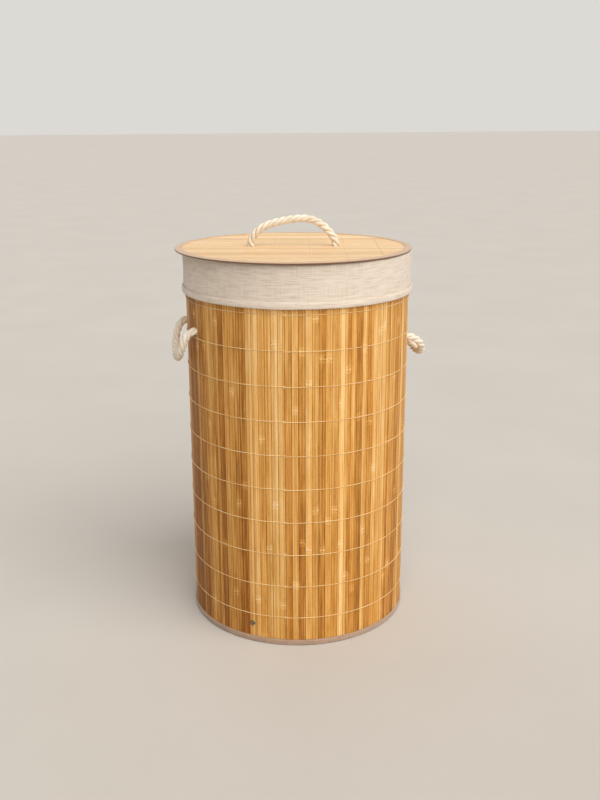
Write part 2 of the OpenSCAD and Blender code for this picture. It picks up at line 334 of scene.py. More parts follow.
def place_piece(name, mesh, *finishes):
    """A finished mesh as an object at the origin, with its materials."""
    mesh.name = name
    mesh.materials.clear()
    for finish in finishes:
        mesh.materials.append(finish)
    made = bpy.data.objects.new(name, mesh)
    bpy.context.collection.objects.link(made)
    return made


def round_off(mesh, sharp_above=40):
    """Smooth shading, except over edges sharper than an angle in degrees."""
    mesh.shade_smooth()
    mesh.set_sharp_from_angle(angle=math.radians(sharp_above))


pivot_x = 0.175344
pivot_y = 0.04609
hole_angle = math.radians(14.727)
bend_start_r = 0.1690
bend_end_r = 0.1790
left_z = 0.482
right_z = 0.455
# Side routes, one half each: out from the pivot line, share of the half span, height
left_half = [
    (0, 1, 0), (6, 0.985, -5), (11, 0.94, -14), (14.5, 0.84, -25.5), (17, 0.64, -37),
    (18, 0.35, -45.5), (18, 0, -48.5),
]
right_half = [
    (0, 1, 0), (8, 0.98, -4), (16, 0.93, -10), (22, 0.81, -18), (26, 0.6, -26),
    (28, 0.31, -32), (28, 0, -34),
]


def side_route(half, side, height):
    """A side rope's route, from inside the wall through one hole, round and back in."""
    loop = []
    for way, part in ((1, half), (-1, half[-2::-1])):
        for out, share, up in part:
            loop.append(
                Vector((side * (pivot_x + out / 1000), way * share * pivot_y, height + up / 1000))
            )
    inside = [0.160, 0.166, 0.172, 0.177]
    lead = [
        Vector((side * r * math.cos(hole_angle), r * math.sin(hole_angle), height)) for r in inside
    ]
    tail = [Vector((p.x, -p.y, p.z)) for p in reversed(lead)]
    return smooth_route([*lead, *loop, *tail], rope_step, side_softness)


def side_rope(name, half, side, height, body):
    """A side handle's rope, bending out of its holes as it swings."""
    route = side_route(half, side, height)
    piece = place_piece(name, laid_rope([route]), cotton)
    round_off(piece.data, 70)
    length = sum((b - a).length for a, b in zip(route, route[1:]))
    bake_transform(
        piece, "basket", body, start=(side * bend_start_r, 0, height), end=(side * bend_end_r, 0, height)
    )
    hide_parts(f"{body}_rope")
    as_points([tuple(p) for p in route[::4]] + [tuple(route[-1])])
    return piece


left_rope = side_rope("left_rope", left_half, -1, left_z, "left_handle")
right_rope = side_rope("right_rope", right_half, 1, right_z, "right_handle")

lid_turn = math.radians(-13.5)
lid_shift = -0.006
lid_place = Matrix.Translation((lid_shift, 0, 0)) @ Matrix.Rotation(lid_turn, 4, "Z")
lid_underside = 0.5974
lid_foot_z = 0.6063
lid_half_span = 0.066
# The lid's route: along the lid and height above the feet
lid_arch = [
    (-66, 0), (-62, 9), (-54, 18), (-42, 25), (-26, 30), (-6, 34), (14, 36), (32, 33),
    (46, 25), (57, 14), (64, 5), (66, 0),
]
lid_points = [Vector((along / 1000, 0, lid_foot_z + up / 1000)) for along, up in lid_arch]
lid_lead = [Vector((-lid_half_span, 0, z)) for z in (0.5900, 0.5955, 0.6010)]
lid_tail = [Vector((lid_half_span, 0, z)) for z in (0.6010, 0.5955, 0.5900)]
lid_route = smooth_route(
    [lid_place @ p for p in [*lid_lead, *lid_points, *lid_tail]], rope_step, lid_softness
)
lid_rope = place_piece("lid_rope", laid_rope([lid_route]), cotton)
round_off(lid_rope.data, 70)
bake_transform(lid_rope, "lid", "lid_handle", start=(0, 0, 0.6005), end=(0, 0, 0.6120))
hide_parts("lid_handle_rope")
round(sum((b - a).length for a, b in zip(lid_route, lid_route[1:])), 3)
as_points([tuple(p) for p in lid_route[::4]] + [tuple(lid_route[-1])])

# ---- Stopper knots ----
# Each rope end is tied off in one tight turn of the same rope, with the cut end in its
# middle, and pulled up against the inside of the wall or the underside of the lid.
knot_face = 0.172345
knot_turn_radius = 0.0074
knot_rope_size = 0.86
knot_turns = 1.12
knot_steps = 60


def knot_routes():
    """One knot's two runs, below its face at height 0: the turn and the core."""
    turn = []
    for k in range(knot_steps + 1):
        angle = 2 * math.pi * knot_turns * k / knot_steps
        height = -0.0056 - 0.0030 * k / knot_steps
        turn.append(
            Vector((knot_turn_radius * math.cos(angle), knot_turn_radius * math.sin(angle), height))
        )
    core = [Vector((0, 0, -0.0135 + 0.0006 * k)) for k in range(24)]
    return [turn, core]


def repeated(one, places, name):
    """One mesh holding a copy of another at each place."""
    bm = bmesh.new()
    for place in places:
        copy = one.copy()
        copy.transform(place)
        bm.from_mesh(copy)
        bpy.data.meshes.remove(copy)
    mesh = bpy.data.meshes.new(name)
    bm.to_mesh(mesh)
    bm.free()
    return mesh


def knots(name, places, body, node):
    """A pair of stopper knots at two places, each with its +Z towards the rope's exit."""
    mesh = repeated(laid_rope(knot_routes(), knot_rope_size), places, name)
    piece = place_piece(name, mesh, cotton)
    round_off(mesh, 70)
    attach(piece, body)
    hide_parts(node)
    return piece


def hole_place(side, way, height):
    """Where a side knot's face is, with +Z pointing out through the wall."""
    turn = (0 if side > 0 else math.pi) + way * hole_angle
    return (
        Matrix.Rotation(turn, 4, "Z")
        @ Matrix.Translation((knot_face, 0, height))
        @ Matrix.Rotation(math.radians(90), 4, "Y")
    )


left_knots = knots(
    "left_knots", [hole_place(-1, way, left_z) for way in (-1, 1)], "basket", "left_handle_knots"
)
right_knots = knots(
    "right_knots", [hole_place(1, way, right_z) for way in (-1, 1)], "basket", "right_handle_knots"
)
lid_knot_places = [
    lid_place @ Matrix.Translation((side * lid_half_span, 0, lid_underside)) for side in (-1, 1)
]
lid_knots = knots("lid_knots", lid_knot_places, "lid", "lid_handle_knots")

# ---- Bamboo wall ----
# A mat of 110 upright bamboo slats, split and planed, each with its own tone, grain and
# pale knuckles, and many split again down the middle. They are glued side by side to
# the cloth behind them, their long edges a little rounded.
slat_count = 110
slat_step = 2 * math.pi / slat_count
seam_slat = -33
slat_edge = 0.00055
slat_middle_r = 0.1741
slat_outer_half_r = 0.1743
# Each slat has its own lane of the grain, this wide
lane = 0.02
mid_lane = 0.01
no_knuckle = -9.0
# Tone of each slat away from the join, 0 dark to 1 pale. Left of the join the tones also hold painted shade:
# the slats grow darker towards the basket's shaded left side.
tones_right_of_join = [
    0.46, 0.64, 0.30, 0.66, 0.54, 0.30, 0.52, 0.48, 0.64, 0.60, 0.50, 0.32, 0.60, 0.40,
    0.64, 0.56, 0.60, 0.50, 0.56, 0.46, 0.42, 0.46,
]
tones_and_painted_shade_left_of_join = [
    0.62, 0.60, 0.48, 0.54, 0.60, 0.60, 0.26, 0.38, 0.50, 0.46, 0.20, 0.32, 0.42, 0.40,
    0.28, 0.18, 0.26, 0.20, 0.12, 0.18,
]


def strip_group():
    """Shade and relief of split bamboo, from a place along and across its strip, with painted shade beside
    the strips' long edges and towards their low ends.
    """
    group = bpy.data.node_groups.new("bamboo_strip", "ShaderNodeTree")
    for name in ("Grain", "Strip", "Knuckles"):
        group.interface.new_socket(name, in_out="INPUT", socket_type="NodeSocketVector")
    group.interface.new_socket("Contrast", in_out="INPUT", socket_type="NodeSocketFloat")
    group.interface.new_socket("Shade", in_out="OUTPUT", socket_type="NodeSocketFloat")
    group.interface.new_socket("Relief", in_out="OUTPUT", socket_type="NodeSocketFloat")
    group.interface.new_socket("Knuckle", in_out="OUTPUT", socket_type="NodeSocketFloat")
    given = group.nodes.new("NodeGroupInput").outputs
    grain = given["Grain"]
    contrast = given["Contrast"]
    strip = add(group, "ShaderNodeSeparateXYZ", {0: given["Strip"]}).outputs
    across = add(group, "ShaderNodeSeparateXYZ", {0: grain}).outputs
    fibres = grain_noise(group, stretch(group, grain, 1900, 1900, 9), 1, 3, 0.62)
    streaks = grain_noise(group, stretch(group, grain, 420, 420, 3.2), 1, 2)
    clouds = grain_noise(group, stretch(group, grain, 130, 130, 16), 1, 3, 0.6)
    flecks = grain_noise(group, stretch(group, grain, 2600, 2600, 130), 1, 1)
    fleck_mask = times(group, calc(group, "MAXIMUM", minus(group, flecks, 0.64), 0.0), 2.6)
    in_lane = calc(group, "FLOORED_MODULO", across[0], lane)
    # The second split of a strip: a fine dark line, with a different tone beyond it
    beyond = minus(group, in_lane, strip[1])
    other_side = calc(group, "GREATER_THAN", beyond, 0.0)
    line = calc(group, "LESS_THAN", calc(group, "ABSOLUTE", beyond), 0.00020)
    mirrored = plus(group, in_lane, strip[1])
    faint_gap = calc(group, "ABSOLUTE", minus(group, mirrored, 0.0207))
    faint_line = calc(group, "LESS_THAN", faint_gap, 0.00016)
    # Knuckles: a ragged pale band across the strip with a dark crease in it
    torn = grain_noise(group, stretch(group, grain, 700, 700, 160), 1, 2)
    ragged = times(group, minus(group, torn, 0.5), 0.010)
    height = plus(group, across[2], ragged)
    band = None
    crease = None
    for mark in add(group, "ShaderNodeSeparateXYZ", {0: given["Knuckles"]}).outputs:
        gap = calc(group, "ABSOLUTE", minus(group, height, mark))
        nearness = minus(group, 1.0, times(group, gap, 130.0))
        here = calc(group, "MAXIMUM", nearness, 0.0)
        thin = calc(group, "LESS_THAN", calc(group, "ABSOLUTE", minus(group, gap, 0.0022)), 0.0007)
        band = here if band is None else calc(group, "MAXIMUM", band, here)
        crease = thin if crease is None else calc(group, "MAXIMUM", crease, thin)
    # Painted shade: each strip is darkened over its last half millimetre beside its long edges, for the
    # shade in the gaps between slats.
    aside = calc(group, "ABSOLUTE", minus(group, in_lane, mid_lane))
    edge = times(group, calc(group, "MAXIMUM", minus(group, aside, 0.0045), 0.0), 2200.0)
    wander = times(group, minus(group, fibres, 0.5), 1.35)
    wander = plus(group, wander, times(group, minus(group, streaks, 0.5), 0.55))
    wander = plus(group, wander, times(group, minus(group, clouds, 0.5), 0.75))
    # Painted shade: each strip grows darker towards the low end of its length, on the wall towards the foot,
    # for the dimmer light near the floor.
    painted_shade_along = times(group, minus(group, across[2], 0.32), 0.40)
    tone = calc(group, "MULTIPLY_ADD", strip[0], 1.25, -0.125)
    tone = plus(group, tone, times(group, painted_shade_along, contrast))
    shade = plus(group, tone, times(group, wander, contrast))
    shade = plus(group, shade, times(group, other_side, strip[2]))
    shade = minus(group, shade, times(group, fleck_mask, contrast))
    cut = plus(group, times(group, line, 0.42), times(group, faint_line, 0.26))
    shade = minus(group, shade, times(group, cut, contrast))
    shade = minus(group, shade, times(group, edge, times(group, contrast, 0.5)))
    blotch = times(group, band, plus(group, 0.25, clouds))
    shade = plus(group, shade, times(group, blotch, 0.55))
    shade = minus(group, shade, times(group, crease, 0.40))
    relief = plus(group, times(group, fibres, 0.5), times(group, band, 0.7))
    relief = minus(group, relief, times(group, line, 0.8))
    result = group.nodes.new("NodeGroupOutput")
    for name, value in (("Shade", shade), ("Relief", relief), ("Knuckle", band)):
        group.links.new(value, result.inputs[name])
    return group


bamboo_strip = strip_group()


def bamboo_finish(name, contrast, rough, gloss, *stops):
    """Bamboo in a palette from dark to pale, with a thin satin varnish."""
    made, tree, shader = new_finish(name, roughness=rough)
    shader.inputs["Specular IOR Level"].default_value = gloss
    values = {
        key: add(tree, "ShaderNodeAttribute", attribute_name=key.lower()).outputs["Vector"]
        for key in ("Grain", "Strip", "Knuckles")
    }
    strip = add(tree, "ShaderNodeGroup", node_tree=bamboo_strip)
    for key, value in values.items():
        tree.links.new(value, strip.inputs[key])
    strip.inputs["Contrast"].default_value = contrast
    colour = ramp(tree, strip.outputs["Shade"], *stops)
    warmth = grain_noise(tree, stretch(tree, values["Grain"], 55, 55, 2.2), 1, 1)
    warm = ramp(tree, warmth, (0.32, linear(255, 236, 206)), (0.68, linear(255, 252, 255)))
    tree.links.new(blend_colours(tree, 0.8, colour, warm, "MULTIPLY"), shader.inputs["Base Color"])
    dull = plus(tree, rough, times(tree, strip.outputs["Knuckle"], 0.12))
    tree.links.new(dull, shader.inputs["Roughness"])
    bump(tree, shader, strip.outputs["Relief"], 0.00018, 0.8)
    return made


wall_bamboo_finish = bamboo_finish(
    "wall_bamboo", 1.0, 0.5, 0.28,
    (0.00, linear(142, 88, 28)),
    (0.25, linear(196, 137, 56)),
    (0.50, linear(222, 170, 92)),
    (0.75, linear(238, 193, 120)),
    (1.00, linear(250, 220, 168)),
)


def merged_copy(node):
    """A CAD node's mesh as a bmesh with its loose triangles joined into flat faces."""
    bm = bmesh.new()
    bm.from_mesh(frame["nodes"][node].data)
    bmesh.ops.remove_doubles(bm, verts=bm.verts, dist=1e-6)
    bmesh.ops.dissolve_limit(
        bm, angle_limit=math.radians(0.5), verts=bm.verts, edges=bm.edges,
        use_dissolve_boundaries=False,
    )
    return bm


def islands(bm):
    """The separate shells of a bmesh, each a list of its vertices."""
    left = set(bm.verts)
    while left:
        shell = [left.pop()]
        for vert in shell:
            for edge in vert.link_edges:
                near = edge.other_vert(vert)
                if near in left:
                    left.remove(near)
                    shell.append(near)
        yield shell


def strip_marks(luck, low, high, chance):
    """Three heights for a strip's knuckles. Those it lacks lie far below it."""
    start = luck.uniform(low, high)
    gap = luck.uniform(0.20, 0.34)
    marks = [start, start + gap, start - gap]
    return [mark if luck.random() < chance else no_knuckle for mark in marks]


def to_mesh(bm, name):
    """A bmesh turned into a named mesh and freed."""
    mesh = bpy.data.meshes.new(name)
    bm.to_mesh(mesh)
    bm.free()
    return mesh


def build_wall():
    """The slats: copied from the frame, narrowed and tilted a little, edges rounded."""
    luck = random.Random(11)
    bm = merged_copy("wall_slats")
    layers = {
        key: bm.verts.layers.float_vector.new(key) for key in ("grain", "strip", "knuckles")
    }
    tones = {}
    for k, tone in enumerate(tones_right_of_join):
        tones[(seam_slat + k) % slat_count] = tone
    for k, tone in enumerate(tones_and_painted_shade_left_of_join):
        tones[(seam_slat - 1 - k) % slat_count] = tone
    shells = {}
    for shell in islands(bm):
        middle = sum((vert.co for vert in shell), Vector()) / len(shell)
        number = round(math.atan2(middle.y, middle.x) / slat_step) % slat_count
        shells.setdefault(number, []).extend(shell)
    facts = {}
    for number in range(slat_count):
        tone = tones.get(number, min(0.85, max(0.12, luck.gauss(0.46, 0.17))))
        narrow = luck.choice((1.0, 0.99, 0.985, 0.97, 0.95))
        lean = math.radians(luck.gauss(0, 1.0))
        split = luck.uniform(-0.0026, 0.0026)
        step = luck.choice((0, 0.10, -0.10, 0.14, -0.14, 0.20, -0.20))
        marks = strip_marks(luck, 0.08, 0.52, 0.75)
        sink = luck.uniform(0, 0.00012)
        if number == seam_slat % slat_count:
            sink = -0.0002
            lean = math.radians(1.6)
            narrow = 0.93
        facts[number] = (tone, split, step, marks)
        frame_in = Matrix.Rotation(-number * slat_step, 4, "Z")
        frame_out = frame_in.inverted()
        turn = Matrix.Rotation(lean, 4, "Z")
        for vert in shells[number]:
            spot = frame_in @ vert.co
            spot = Vector((spot.x - slat_middle_r - sink, spot.y * narrow, spot.z))
            spot = turn @ spot
            vert.co = frame_out @ Vector((spot.x + slat_middle_r, spot.y, spot.z))
    long_edges = []
    for edge in bm.edges:
        a, b = (vert.co for vert in edge.verts)
        out = min(a.xy.length, b.xy.length)
        upright = abs((a - b).normalized().z) > 0.999
        if upright and out > slat_outer_half_r and len(edge.link_faces) == 2:
            if edge.calc_face_angle(0) > math.radians(60):
                long_edges.append(edge)
    bmesh.ops.bevel(
        bm, geom=long_edges, offset=slat_edge, offset_type="OFFSET", segments=2, profile=0.5,
        affect="EDGES", material=-1, clamp_overlap=True,
    )
    for vert in bm.verts:
        number = round(math.atan2(vert.co.y, vert.co.x) / slat_step) % slat_count
        spot = Matrix.Rotation(-number * slat_step, 3, "Z") @ vert.co
        tone, split, step, marks = facts[number]
        vert[layers["grain"]] = (number * lane + mid_lane + spot.y, spot.x, spot.z)
        vert[layers["strip"]] = (tone, mid_lane + split, step)
        vert[layers["knuckles"]] = marks
    piece = place_piece("wall_bamboo", to_mesh(bm, "wall_bamboo"), wall_bamboo_finish)
    round_off(piece.data, 35)
    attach(piece, "basket")
    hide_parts("wall_slats")
    return piece


wall_bamboo = build_wall()

# ---- Wall threads ----
# Eleven rows of cream cotton thread, sewn over the slats and down into the gaps. At the
# mat's upright join the two ends of each row stand a little apart.
thread_rows = 11
first_row_z = 0.048
row_pitch = 0.053
thread_radius = 0.00055
over_slat_r = 0.17552
in_gap_r = 0.17526


def thread_finish():
    """Twisted cream thread, with darker turns."""
    made, tree, shader = new_finish("thread", roughness=0.8, sheen_weight=0.3)
    place = object_place(tree)
    turns = grain_noise(tree, place, 1300, 1)
    wear = grain_noise(tree, place, 24, 2)
    colour = ramp(tree, turns, (0.3, linear(226, 186, 122)), (0.62, linear(254, 230, 178)))
    dusty = ramp(tree, wear, (0.38, linear(232, 206, 160)), (0.58, linear(255, 252, 242)))
    tree.links.new(blend_colours(tree, 0.7, colour, dusty, "MULTIPLY"), shader.inputs["Base Color"])
    bump(tree, shader, turns, 0.0002)
    return made


thread_cotton = thread_finish()


def threads(name, rows, radius, body, node, finish=thread_cotton):
    """Rows of thread along lists of points, as one piece."""
    data = bpy.data.curves.new("sewing", "CURVE")
    data.dimensions = "3D"
    data.bevel_depth = radius
    data.bevel_resolution = 1
    data.use_fill_caps = True
    for row in rows:
        line = data.splines.new("POLY")
        line.points.add(len(row) - 1)
        for point, spot in zip(line.points, row):
            point.co = (*spot, 1)
    mesh = curve_mesh(data)
    piece = place_piece(name, mesh, finish)
    mesh.shade_smooth()
    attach(piece, body)
    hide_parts(node)
    return piece


def wall_thread_row(row):
    """One row's points, from the join round to the join and a little past it."""
    height = first_row_z + row * row_pitch
    luck = random.Random(200 + row)
    late = luck.uniform(0.0008, 0.0016)
    points = []
    per_slat = 4
    start = (seam_slat - 0.5) * slat_step
    for k in range(slat_count * per_slat + 3):
        slats = k / per_slat
        turn = start + (slats - 0.35) * slat_step
        in_gap = (slats - 0.35) % 1.0 < 0.12 or (slats - 0.35) % 1.0 > 0.88
        reach = in_gap_r if in_gap else over_slat_r
        lift = 0.00035 * noise.noise(Vector((turn * 9, row * 3.7, 0)))
        lift -= late * math.exp(-slats / 1.2)
        lift += late * 0.8 * math.exp(-(slat_count - slats) / 2.5)
        points.append(
            Vector((reach * math.cos(turn), reach * math.sin(turn), height + lift))
        )
    return points


wall_threads = threads(
    "wall_thread_rows", [wall_thread_row(row) for row in range(thread_rows)], thread_radius,
    "basket", "wall_threads",
)

# ---- Cloth behind the slats ----
# Plain woven cotton glued to the back of the mat, which hinges the slats and hides the
# gaps, and a tape of the same cloth over the mat's upright join.
backing_r = 0.173084
backing_low = 0.00155
backing_high = 0.5941
backing_t = 0.0004
tape_width = 0.025
# How far up the painted shade on the lid's tape fades out, in metres
painted_shade_fade = 0.0008


def woven_group():
    """Relief and shade of plain woven cloth, from a place in metres."""
    group = bpy.data.node_groups.new("woven_cloth", "ShaderNodeTree")
    group.interface.new_socket("Place", in_out="INPUT", socket_type="NodeSocketVector")
    for name in ("Threads", "Slubs"):
        group.interface.new_socket(name, in_out="INPUT", socket_type="NodeSocketFloat")
    for name in ("Relief", "Shade"):
        group.interface.new_socket(name, in_out="OUTPUT", socket_type="NodeSocketFloat")
    given = group.nodes.new("NodeGroupInput").outputs
    parts = add(group, "ShaderNodeSeparateXYZ", {0: given["Place"]}).outputs
    along = times(group, parts[0], given["Threads"])
    across = times(group, parts[1], given["Threads"])
    waves = [calc(group, "SINE", times(group, way, 2 * math.pi)) for way in (along, across)]
    over = plus(group, times(group, times(group, *waves), 0.5), 0.5)

    def yarns(x_share, y_share):
        """Noise drawn out along one set of yarns."""
        place = add(
            group,
            "ShaderNodeCombineXYZ",
            {0: times(group, along, x_share), 1: times(group, across, y_share)},
        )
        return grain_noise(group, place.outputs[0], 1, 2, 0.6)

    weft = yarns(0.035, 0.9)
    warp = yarns(0.9, 0.03)
    thick = yarns(0.05, 0.33)
    patches = yarns(0.02, 0.02)
    slub = plus(group, times(group, weft, 0.42), times(group, warp, 0.20))
    slub = plus(group, slub, times(group, thick, 0.26))
    slub = plus(group, slub, times(group, patches, 0.12))
    swing = times(group, minus(group, slub, 0.5), given["Slubs"])
    shade = plus(group, plus(group, 0.44, times(group, over, 0.12)), swing)
    relief = plus(group, times(group, over, 0.5), times(group, slub, 0.5))
    result = group.nodes.new("NodeGroupOutput")
    group.links.new(relief, result.inputs["Relief"])
    group.links.new(shade, result.inputs["Shade"])
    return group


woven_cloth = woven_group()


def cloth_finish(name, threads_a_metre, slubs, relief, dark, mid, pale, sheen=0.2, painted_shade_below=None):
    """Woven cloth in three colours, read from the piece's own cloth map in metres. It may be
    painted darker below a height: painted shade, for the shadow along the lower edge of a lid's tape."""
    made, tree, shader = new_finish(name, roughness=0.92, sheen_weight=sheen)
    shader.inputs["Sheen Roughness"].default_value = 0.5
    place = add(tree, "ShaderNodeUVMap", uv_map="cloth").outputs[0]
    weave = add(tree, "ShaderNodeGroup", node_tree=woven_cloth)
    tree.links.new(place, weave.inputs["Place"])
    weave.inputs["Threads"].default_value = threads_a_metre
    weave.inputs["Slubs"].default_value = slubs
    colour = ramp(tree, weave.outputs["Shade"], (0.22, dark), (0.5, mid), (0.78, pale))
    # Painted shade: below the given height the colour is darkened, fading in over a short rise.
    if painted_shade_below:
        spot = object_place(tree)
        height = add(tree, "ShaderNodeSeparateXYZ", {0: spot}).outputs[2]
        above = times(tree, minus(tree, height, painted_shade_below), 1 / painted_shade_fade)
        painted_shade_ramp = ramp(tree, above, (0.0, linear(150, 128, 110)), (1.0, linear(255, 255, 255)))
        colour = blend_colours(tree, 1.0, colour, painted_shade_ramp, "MULTIPLY")
    tree.links.new(colour, shader.inputs["Base Color"])
    bump(tree, shader, weave.outputs["Relief"], relief, 0.9)
    return made


backing_finish = cloth_finish(
    "backing_cloth", 900, 1.2, 0.0003,
    linear(150, 120, 82), linear(186, 154, 112), linear(208, 180, 140),
)


def spun(profile, steps, angle=2 * math.pi, start=0.0, closed=False):
    """A profile of radius and height spun about +Z. Each vertex keeps its place along
    the profile in a layer."""
    bm = bmesh.new()
    walk = bm.verts.layers.float.new("walk")
    verts = []
    walked = 0.0
    last = None
    for radius, height in profile:
        if last is not None:
            walked += math.dist(last, (radius, height))
        last = (radius, height)
        vert = bm.verts.new((radius * math.cos(start), radius * math.sin(start), height))
        vert[walk] = walked
        verts.append(vert)
    edges = [bm.edges.new(pair) for pair in zip(verts, verts[1:])]
    if closed:
        edges.append(bm.edges.new((verts[-1], verts[0])))
    full = angle > 2 * math.pi - 1e-6
    bmesh.ops.spin(
        bm, geom=[*verts, *edges], cent=(0, 0, 0), axis=(0, 0, 1), dvec=(0, 0, 0), angle=angle,
        steps=steps, use_merge=full, use_normal_flip=False, use_duplicate=False,
    )
    bmesh.ops.remove_doubles(bm, verts=bm.verts, dist=1e-7)
    bmesh.ops.recalc_face_normals(bm, faces=bm.faces)
    return bm


def map_flat_cloth(bm):
    """A cloth map in metres, straight down on a flat piece."""
    cloth = bm.loops.layers.uv.new("cloth")
    for face in bm.faces:
        for loop in face.loops:
            loop[cloth].uv = loop.vert.co.xy


def map_cloth(bm, radius):
    """A cloth map in metres: round the axis, and along the profile."""
    walk = bm.verts.layers.float["walk"]
    cloth = bm.loops.layers.uv.new("cloth")
    for face in bm.faces:
        middle = face.calc_center_median()
        facing = math.atan2(middle.y, middle.x)
        for loop in face.loops:
            turn = math.atan2(loop.vert.co.y, loop.vert.co.x) - facing
            turn = (turn + math.pi) % (2 * math.pi) - math.pi
            loop[cloth].uv = ((facing + turn) * radius, loop.vert[walk])


def line_up(start, end, count):
    """Evenly spaced profile points from one to another, the last left out."""
    return [
        (start[0] + (end[0] - start[0]) * k / count, start[1] + (end[1] - start[1]) * k / count)
        for k in range(count)
    ]


def thicken(piece, thickness):
    """Cloth thickness, half to each side, applied to the mesh."""
    layer = piece.modifiers.new("thickness", "SOLIDIFY")
    layer.thickness = thickness
    layer.offset = 0
    layer.use_rim = True
    bake_modifiers(piece)


def bake_modifiers(piece):
    """A piece's modifiers made part of its mesh."""
    graph = bpy.context.evaluated_depsgraph_get()
    graph.update()
    mesh = bpy.data.meshes.new_from_object(
        piece.evaluated_get(graph), preserve_all_data_layers=True, depsgraph=graph
    )
    old = piece.data
    piece.modifiers.clear()
    piece.data = mesh
    bpy.data.meshes.remove(old)
    mesh.name = piece.name


def cut_holes(piece, places):
    """Round holes through a piece: each a place with +Z along the hole, and a diameter."""
    bm = bmesh.new()
    for place, diameter in places:
        bmesh.ops.create_cone(
            bm, cap_ends=True, segments=32, radius1=diameter / 2, radius2=diameter / 2,
            depth=0.03, matrix=place,
        )
    cutter = bpy.data.objects.new("cutter", to_mesh(bm, "cutter"))
    bpy.context.collection.objects.link(cutter)
    cut = piece.modifiers.new("holes", "BOOLEAN")
    cut.operation = "DIFFERENCE"
    cut.solver = "EXACT"
    cut.object = cutter
    bake_modifiers(piece)
    bpy.data.objects.remove(cutter)


strap_angle = math.radians(-39 * 360 / slat_count)
rivet_z = 0.031
wall_middle_r = 0.1735
rope_hole = 0.013
rivet_hole = 0.0031
outwards = Matrix.Rotation(math.radians(90), 4, "Y")
wall_hole_places = [
    (
        Matrix.Rotation((0 if side > 0 else math.pi) + way * hole_angle, 4, "Z")
        @ Matrix.Translation((wall_middle_r, 0, height))
        @ outwards,
        rope_hole,
    )
    for side, height in ((-1, left_z), (1, right_z))
    for way in (-1, 1)
]
rivet_places = [
    Matrix.Rotation(strap_angle + turn, 4, "Z")
    @ Matrix.Translation((wall_middle_r, 0, rivet_z))
    @ outwards
    for turn in (0, math.pi)
]

backing_bm = spun(
    [*line_up((backing_r, backing_low), (backing_r, backing_high), 66), (backing_r, backing_high)],
    slat_count * 2,
)
for vert in backing_bm.verts:
    # Drawn in a little by each row of stitches, and slightly uneven
    row = (vert.co.z - first_row_z) / row_pitch
    near_row = math.exp(-(((row - round(row)) * row_pitch / 0.004) ** 2))
    ripple = 0.00008 * noise.noise(vert.co * 70)
    vert.co.xy *= 1 - (0.00005 * near_row + abs(ripple)) / backing_r
map_cloth(backing_bm, backing_r)
wall_cloth = place_piece("wall_cloth", to_mesh(backing_bm, "wall_cloth"), backing_finish)
thicken(wall_cloth, backing_t)
cut_holes(wall_cloth, [*wall_hole_places, *((place, rivet_hole) for place in rivet_places)])
round_off(wall_cloth.data, 50)
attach(wall_cloth, "basket")
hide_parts("wall_backing")

seam_angle = -33.5 * slat_step
tape_r = 0.172884 - 0.00005 - backing_t / 2
tape_low = 0.0106
tape_high = 0.59565 - 0.012 - 0.0006
tape_spread = tape_width / tape_r
tape_bm = spun(
    [*line_up((tape_r, tape_low), (tape_r, tape_high), 90), (tape_r, tape_high)], 10,
    angle=tape_spread, start=seam_angle - tape_spread / 2,
)
for vert in tape_bm.verts:
    vert.co.xy *= 1 - 0.0002 * abs(noise.noise(vert.co * 45)) / tape_r
map_cloth(tape_bm, tape_r)
seam_tape = place_piece("seam_tape", to_mesh(tape_bm, "seam_tape"), backing_finish)
thicken(seam_tape, backing_t)
round_off(seam_tape.data, 50)
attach(seam_tape, "basket")
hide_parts("wall_seam_tape")

# ---- Bindings and hoops of the wall ----
# A folded strip of mauve-brown cotton tape closes the mat's top and bottom edges. Inside
# each fold, behind the mat, runs a round steel wire that keeps the basket round. One row
# of stitches near the tape's outer edge goes through everything.
tape_t = 0.0013
stitch_pitch = 0.0042
stitch_length = 0.0030

tape_finish = cloth_finish(
    "binding_tape", 1100, 1.1, 0.0004,
    linear(138, 108, 88), linear(176, 146, 124), linear(204, 178, 156), 0.35,
)
steel, steel_tree, steel_shader = new_finish("hoop_steel", metallic=1.0, roughness=0.4)
steel_place = object_place(steel_tree)
steel_wear = grain_noise(steel_tree, steel_place, 160, 3)
steel_tree.links.new(
    ramp(steel_tree, steel_wear, (0.35, linear(150, 146, 140)), (0.65, linear(196, 194, 190))),
    steel_shader.inputs["Base Color"],
)
steel_tree.links.new(
    plus(steel_tree, 0.28, times(steel_tree, steel_wear, 0.25)),
    steel_shader.inputs["Roughness"],
)
for hoop in ("rim_hoop", "foot_hoop", "lid_hoop"):
    frame["nodes"][hoop].material_slots[0].material = steel


def eased(profile, cut, steps=3):
    """A profile with each inner corner rounded by a short curve."""
    made = [profile[0]]
    for before, corner, after in zip(profile, profile[1:], profile[2:]):
        ends = []
        for other in (before, after):
            reach = min(cut, math.dist(corner, other) * 0.45) / math.dist(corner, other)
            ends.append([c + (o - c) * reach for c, o in zip(corner, other)])
        for k in range(steps + 1):
            t = k / steps
            made.append(
                tuple(
                    (1 - t) ** 2 * a + 2 * t * (1 - t) * c + t * t * b
                    for a, c, b in zip(ends[0], corner, ends[1])
                )
            )
    made.append(profile[-1])
    return made


def tape_ring(name, profile, cut, radius, body, node, thickness, finish, place=None):
    """A folded tape round an edge: spun, slightly uneven, thickened and mapped."""
    outline = eased(profile, cut)
    bm = spun(outline, 192)
    for vert in bm.verts:
        facing = vert.co.xy.normalized()
        uneven = noise.noise(Vector((facing.x * 14, facing.y * 14, vert.co.z * 60)))
        fine = noise.noise(Vector((facing.x * 60, facing.y * 60, vert.co.z * 300 + 7)))
        vert.co.xy += facing * (0.00022 * uneven + 0.00008 * fine)
        vert.co.z += 0.00006 * (fine + 1) * (1 if vert.co.z < 0.3 else -1)
    map_cloth(bm, radius)
    piece = place_piece(name, to_mesh(bm, name), finish)
    thicken(piece, thickness)
    if place:
        piece.data.transform(place)
    round_off(piece.data, 60)
    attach(piece, body)
    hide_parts(node)
    width = sum(math.dist(a, b) for a, b in zip(outline, outline[1:]))
    return piece


